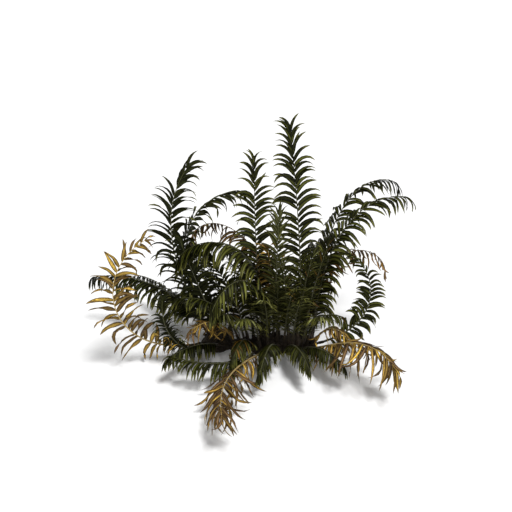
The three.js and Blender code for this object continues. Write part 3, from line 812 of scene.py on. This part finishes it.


# In each look the highlight share paints a highlight along every leaflet's middle and shade towards its
# margins, and the underside colour darkens green undersides as painted shade
GREEN_LOOK = {
    "mottle": 0.25, "mottle_colour": (0.026, 0.027, 0.006),
    "margin": 0.35, "margin_at": 0.4, "margin_colour": (0.055, 0.056, 0.013),
    "tip": 0.8, "tip_at": 0.6, "tip_colour": (0.1, 0.098, 0.022),
    "midrib": 0.4, "midrib_colour": (0.06, 0.065, 0.02),
    "under": 0.4, "underside_tint_and_shade": (0.01, 0.0115, 0.003), "roughness": 0.36, "sheen": 0.07, "painted_light": 0.75,
}
DRY_LOOK = {
    "mottle": 0.7, "mottle_colour": (0.1, 0.055, 0.018),
    "margin": 0.85, "margin_at": 0.18, "margin_colour": (0.07, 0.036, 0.014),
    "tip": 0.7, "tip_at": 0.72, "tip_colour": (0.075, 0.046, 0.025),
    "midrib": 0.45, "midrib_colour": (0.38, 0.27, 0.09),
    "under": 0.3, "underside_tint_and_shade": (0.22, 0.14, 0.032), "roughness": 0.62, "sheen": 0.12, "painted_light": 0.45,
}


def length_property(name, description, default):
    """A length that a user may change."""
    return FloatProperty(name=name, description=description, default=default, unit="LENGTH")


def angle_property(name, description, degrees):
    """An angle that a user may change."""
    return FloatProperty(name=name, description=description, default=math.radians(degrees), subtype="ANGLE")


def colour_property(name, description, default):
    """A colour that a user may change."""
    return FloatVectorProperty(
        name=name, description=description, default=default, subtype="COLOR", min=0, max=1)


class FernLeafletSizes(PropertyGroup):
    """Sizes of leaflets and ribs."""

    leaflet_spacing: length_property(
        "Spacing", "Least distance between leaflets on one side of a rib", 0.0185)
    leaflet_spread: FloatProperty(
        name="Spread", description="Distance added for each metre of frond", default=0.0137, subtype="FACTOR")
    leaflet_width: length_property("Width", "Width of a long leaflet at its widest", 0.0265)
    leaflet_thickness: length_property("Thickness", "Least thickness at the midrib", 0.0016)
    leaflet_fold: FloatProperty(
        name="Fold", description="How far the margins stand above the midrib, as a share", default=0.4,
        subtype="FACTOR")
    rib_foot_radius: length_property("Rib foot radius", "Radius of a rib at its stalk base", 0.0085)
    rib_tip_radius: length_property("Rib tip radius", "Radius of a rib at its tip", 0.0016)
    rib_root: length_property("Rib root", "Length of rib sunk in its stalk base", 0.012)
    rib_step: length_property("Rib step", "Length between a rib's cross-sections", 0.026)
    seed: IntProperty(
        name="Seed", description="Start of the leaflets' small departures from the rule", default=1204)


class FernStemSizes(PropertyGroup):
    """Sizes of the stem's relief."""

    stub_base_radius: length_property(
        "Stalk base radius", "Radius of a stalk base where it leaves the stem", 0.018)
    stub_end_radius: length_property(
        "Stalk end radius", "Radius of a stalk base where its rib goes on", 0.011)
    stump_count: IntProperty(
        name="Stumps", description="Old stalk stumps on each crown", default=12)
    grain: length_property("Grain", "Edge length of the bark mesh", 0.0052)
    relief: length_property("Relief", "Depth of the bark's lumps", 0.014)
    fibre: length_property("Fibre", "Depth of the bark's fibres", 0.005)


class FernColours(PropertyGroup):
    """Colours of leaflets, ribs, stem and floor."""

    # The darkest green is painted shade, the leaf green darkened for leaflets in shadow; the olive green is
    # painted light, the leaf green lightened for leaflets in full light
    deep_green: colour_property("Deep green", "Old, shaded leaflets", (0.0105, 0.0115, 0.0013))
    leaf_green: colour_property("Leaf green", "Most leaflets", (0.0255, 0.027, 0.0045))
    olive_green: colour_property("Olive green", "Leaflets in full light", (0.064, 0.067, 0.0145))
    young_green: colour_property("Young green", "Pale young leaflets", (0.15, 0.155, 0.055))
    blue_green: colour_property("Blue green", "Cool leaflets on the left", (0.015, 0.0175, 0.0045))
    rusty_green: colour_property("Rusty green", "Leaflets that begin to turn", (0.1, 0.055, 0.009))
    gold: colour_property("Gold", "Bright dry leaflets", (0.46, 0.3, 0.05))
    ochre: colour_property("Ochre", "Dull dry leaflets", (0.25, 0.155, 0.03))
    umber: colour_property("Umber", "Dark dry leaflets", (0.08, 0.047, 0.022))
    brown: colour_property("Brown", "Withered leaflets", (0.09, 0.05, 0.018))
    rust: colour_property("Rust", "Rusty withered leaflets", (0.19, 0.1, 0.024))
    green_rib: colour_property("Green rib", "Ribs of green fronds", (0.07, 0.07, 0.034))
    gold_rib: colour_property("Gold rib", "Ribs of gold fronds", (0.42, 0.31, 0.13))
    brown_rib: colour_property("Brown rib", "Ribs of withered fronds", (0.2, 0.11, 0.04))
    # The stalk foot and bark are darker than the stem's own brown: partly their colour and partly painted
    # shade, so the stem reads as shade under the crown
    stalk_foot: colour_property("Stalk foot", "Scaly stalk bases", (0.03, 0.022, 0.01))
    bark: colour_property("Bark", "The stem", (0.026, 0.018, 0.009))
    bark_pale: colour_property("Pale bark", "Worn spots on the stem", (0.075, 0.052, 0.03))
    floor: colour_property("Floor", "Studio floor", (0.92, 0.92, 0.92))


class FernStage(PropertyGroup):
    """The camera, the lights and the floor."""

    camera_place: FloatVectorProperty(
        name="Camera", description="Where the camera stands", default=(-0.09, -3.922, 2.501), unit="LENGTH")
    camera_tilt: angle_property("Tilt", "How far the camera looks below level", 24)
    camera_lens: FloatProperty(
        name="Lens", description="Focal length in millimetres on a 36 mm wide image", default=43.1)
    sky: FloatProperty(
        name="Sky", description="Strength of the light from all round", default=0.3)
    key: FloatProperty(
        name="Key", description="Strength of the soft light from above", default=3.0)
    key_turn: FloatVectorProperty(
        name="Key turn", description="How the light from above is turned", default=(0.34, 0.3, 0.0),
        subtype="EULER")
    key_softness: angle_property("Softness", "Width of the light as seen from the plant", 16)
    fill: FloatProperty(
        name="Fill", description="Strength of the softer light from the viewer's side", default=0.8)
    fill_turn: FloatVectorProperty(
        name="Fill turn", description="How the light from the viewer's side is turned",
        default=(1.15, 0.0, -0.35), subtype="EULER")
    fill_softness: angle_property("Fill softness", "Width of that light as seen from the plant", 50)
    floor_size: length_property("Floor", "Width of the floor", 300.0)


def settle(piece, material, nodes):
    """Gives a finished piece its material, hangs it under the root body and hides the solids that it stands
    for.
    """
    piece.data.materials.clear()
    piece.data.materials.append(material)
    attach(piece, "root")
    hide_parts(*nodes)


def add_leaflets(context, kind, look):
    """Makes one piece for each tint that the leaflets on a kind of frond take."""
    sizes = context.scene.fern_leaflets
    grown = grow_leaflets(kind, sizes)
    if not grown:
        raise RuntimeError(f"no {kind} leaflets grew")
    for tint in sorted(grown):
        piece, nodes = leaflet_piece(f"{tint}_leaflets", grown[tint])
        base = getattr(context.scene.fern_colours, tint)
        settle(piece, leaf_finish(f"{tint} leaf", base, look), nodes)


class FERN_OT_stem(Operator):
    """Model the creeping stem with its stalk bases, stumps and bark, cut flat at the ground"""

    bl_idname = "fern.stem"
    bl_label = "Stem"

    def execute(self, context):
        sizes = context.scene.fern_stem
        chance = np.random.default_rng(STUMP_SEED)
        bpy.ops.object.select_all(action="DESELECT")
        parts = []
        for (x, y), half_axes in CROWNS:
            bpy.ops.mesh.primitive_uv_sphere_add(
                segments=CROWN_SEGMENTS, ring_count=CROWN_RINGS, radius=1, location=(x, y, 0),
                scale=half_axes)
            parts.append(context.object)
        for frond in FRONDS:
            start, _ = frond_frame(frond, 0)
            middle = np.array((*frond.foot, FOOT_HEIGHT)) + start * ((STUB_LENGTH - STUB_ROOT) / 2)
            radii = (sizes.stub_base_radius, sizes.stub_end_radius)
            self.add_stalk(middle, start, radii, STUB_LENGTH + STUB_ROOT)
            parts.append(context.object)
        for (x, y), (a, b, c) in CROWNS:
            for _ in range(sizes.stump_count):
                aim = direction(chance.uniform(0, 360), chance.uniform(*STUMP_TILTS))
                spot = np.array((x, y, 0)) + aim * (a, b, c)
                length = chance.uniform(*STUMP_LENGTHS)
                radii = (chance.uniform(*STUMP_BASE_RADII), chance.uniform(*STUMP_END_RADII))
                self.add_stalk(spot, aim, radii, length)
                parts.append(context.object)
        bpy.ops.object.select_all(action="DESELECT")
        for part in parts:
            part.select_set(True)
        stem = parts[0]
        context.view_layer.objects.active = stem
        bpy.ops.object.join()
        bpy.ops.object.transform_apply(location=True, rotation=True, scale=True)
        stem.name = "stem_bark"
        merge = stem.modifiers.new("Merge", "REMESH")
        merge.mode = "VOXEL"
        merge.voxel_size = sizes.grain
        bpy.ops.object.modifier_apply(modifier="Merge")
        for label, size, depth in (("Lumps", LUMP_SIZE, sizes.relief), ("Fibres", FIBRE_SIZE, sizes.fibre)):
            grain = bpy.data.textures.new(label, "CLOUDS")
            grain.noise_scale = size
            relief = stem.modifiers.new(label, "DISPLACE")
            relief.texture = grain
            relief.texture_coords = "LOCAL"
            relief.strength = depth
            relief.mid_level = RELIEF_MIDDLE
            bpy.ops.object.modifier_apply(modifier=label)
        bpy.ops.object.mode_set(mode="EDIT")
        bpy.ops.mesh.select_all(action="SELECT")
        bpy.ops.mesh.bisect(plane_co=(0, 0, 0), plane_no=(0, 0, 1), use_fill=True, clear_inner=True)
        bpy.ops.object.mode_set(mode="OBJECT")
        bpy.ops.object.shade_smooth_by_angle(angle=BARK_CREASE)
        colours = context.scene.fern_colours
        settle(stem, bark_finish("bark", colours.bark, colours.bark_pale), ["stem"])
        return {"FINISHED"}

    def add_stalk(self, middle, aim, radii, length):
        """Adds a stalk base or stump that tapers from one radius to the other."""
        turn = Vector(aim).to_track_quat("Z", "Y").to_euler()
        bpy.ops.mesh.primitive_cone_add(
            vertices=STALK_SIDES, radius1=radii[0], radius2=radii[1], depth=length, location=tuple(middle),
            rotation=turn)


class FERN_OT_ribs(Operator):
    """Grow the ribs of all fronds"""

    bl_idname = "fern.ribs"
    bl_label = "Ribs"

    def execute(self, context):
        sizes = context.scene.fern_leaflets
        colours = context.scene.fern_colours
        foot = tuple(colours.stalk_foot)
        rows = (
            ("green", "green_frond", tuple(colours.green_rib), tuple(colours.olive_green)),
            ("gold", "gold_frond", tuple(colours.gold_rib), tuple(colours.gold)),
            ("brown", "withered_frond", tuple(colours.brown_rib), tuple(colours.brown)),
        )
        for kind, slot, middle, tip in rows:
            piece = rib_piece(f"{kind}_ribs", kind, sizes)
            nodes = sorted(node for frond in FRONDS if frond.kind == kind for node in frond.nodes())
            settle(piece, rib_finish(f"{kind} rib", foot, middle, tip), nodes)
        return {"FINISHED"}


class FERN_OT_green_leaflets(Operator):
    """Grow the leaflets of the green fronds"""

    bl_idname = "fern.green_leaflets"
    bl_label = "Green leaflets"

    def execute(self, context):
        add_leaflets(context, "green", GREEN_LOOK)
        return {"FINISHED"}


class FERN_OT_gold_leaflets(Operator):
    """Grow the leaflets of the fronds that have turned gold"""

    bl_idname = "fern.gold_leaflets"
    bl_label = "Gold leaflets"

    def execute(self, context):
        add_leaflets(context, "gold", DRY_LOOK)
        return {"FINISHED"}


class FERN_OT_withered_leaflets(Operator):
    """Grow the shrivelled leaflets of the withered fronds"""

    bl_idname = "fern.withered_leaflets"
    bl_label = "Withered leaflets"

    def execute(self, context):
        add_leaflets(context, "brown", DRY_LOOK)
        return {"FINISHED"}


class FERN_OT_stage(Operator):
    """Set up the floor, the soft light and the camera"""

    bl_idname = "fern.stage"
    bl_label = "Stage"

    def execute(self, context):
        stage = context.scene.fern_stage
        bpy.ops.object.select_all(action="DESELECT")
        bpy.ops.mesh.primitive_plane_add(size=stage.floor_size)
        floor = context.object
        floor.name = "studio_floor"
        floor.data.materials.append(floor_finish("pale floor", context.scene.fern_colours.floor))
        lights = (
            ("key", stage.key_turn, stage.key, stage.key_softness),
            ("fill", stage.fill_turn, stage.fill, stage.fill_softness),
        )
        for name, turn, strength, softness in lights:
            bpy.ops.object.light_add(type="SUN", location=LIGHT_PLACE, rotation=tuple(turn))
            context.object.name = name
            context.object.data.energy = strength
            context.object.data.angle = softness
        world = context.scene.world or bpy.data.worlds.new("Studio")
        context.scene.world = world
        world.use_nodes = True
        sky = world.node_tree.nodes["Background"]
        sky.inputs["Color"].default_value = (1, 1, 1, 1)
        sky.inputs["Strength"].default_value = stage.sky
        bpy.ops.object.camera_add(
            location=tuple(stage.camera_place), rotation=(math.pi / 2 - stage.camera_tilt, 0, 0))
        camera = context.object
        camera.data.lens = stage.camera_lens
        camera.data.sensor_width = SENSOR_WIDTH
        context.scene.camera = camera
        context.scene.view_settings.view_transform = "Standard"
        return {"FINISHED"}


class FERN_PT_panel(Panel):
    """Lists the fern's pieces in the sidebar"""

    bl_idname = "FERN_PT_panel"
    bl_label = "Giant leather fern"
    bl_space_type = "VIEW_3D"
    bl_region_type = "UI"
    bl_category = "Fern"

    def draw(self, context):
        for operator in OPERATORS:
            self.layout.operator(operator.bl_idname)


OPERATORS = (
    FERN_OT_stem,
    FERN_OT_ribs,
    FERN_OT_green_leaflets,
    FERN_OT_gold_leaflets,
    FERN_OT_withered_leaflets,
    FERN_OT_stage,
)
SETTINGS = {
    "fern_leaflets": FernLeafletSizes,
    "fern_stem": FernStemSizes,
    "fern_colours": FernColours,
    "fern_stage": FernStage,
}
CLASSES = (*SETTINGS.values(), *OPERATORS, FERN_PT_panel)


def register():
    for made in CLASSES:
        bpy.utils.register_class(made)
    for name, group in SETTINGS.items():
        setattr(bpy.types.Scene, name, PointerProperty(type=group))


def unregister():
    for name in SETTINGS:
        delattr(bpy.types.Scene, name)
    for made in reversed(CLASSES):
        bpy.utils.unregister_class(made)


def main():
    register()
    bpy.ops.fern.stem()
    bpy.ops.fern.ribs()
    bpy.ops.fern.green_leaflets()
    bpy.ops.fern.gold_leaflets()
    bpy.ops.fern.withered_leaflets()
    bpy.ops.fern.stage()


if __name__ == "__main__":
    main()
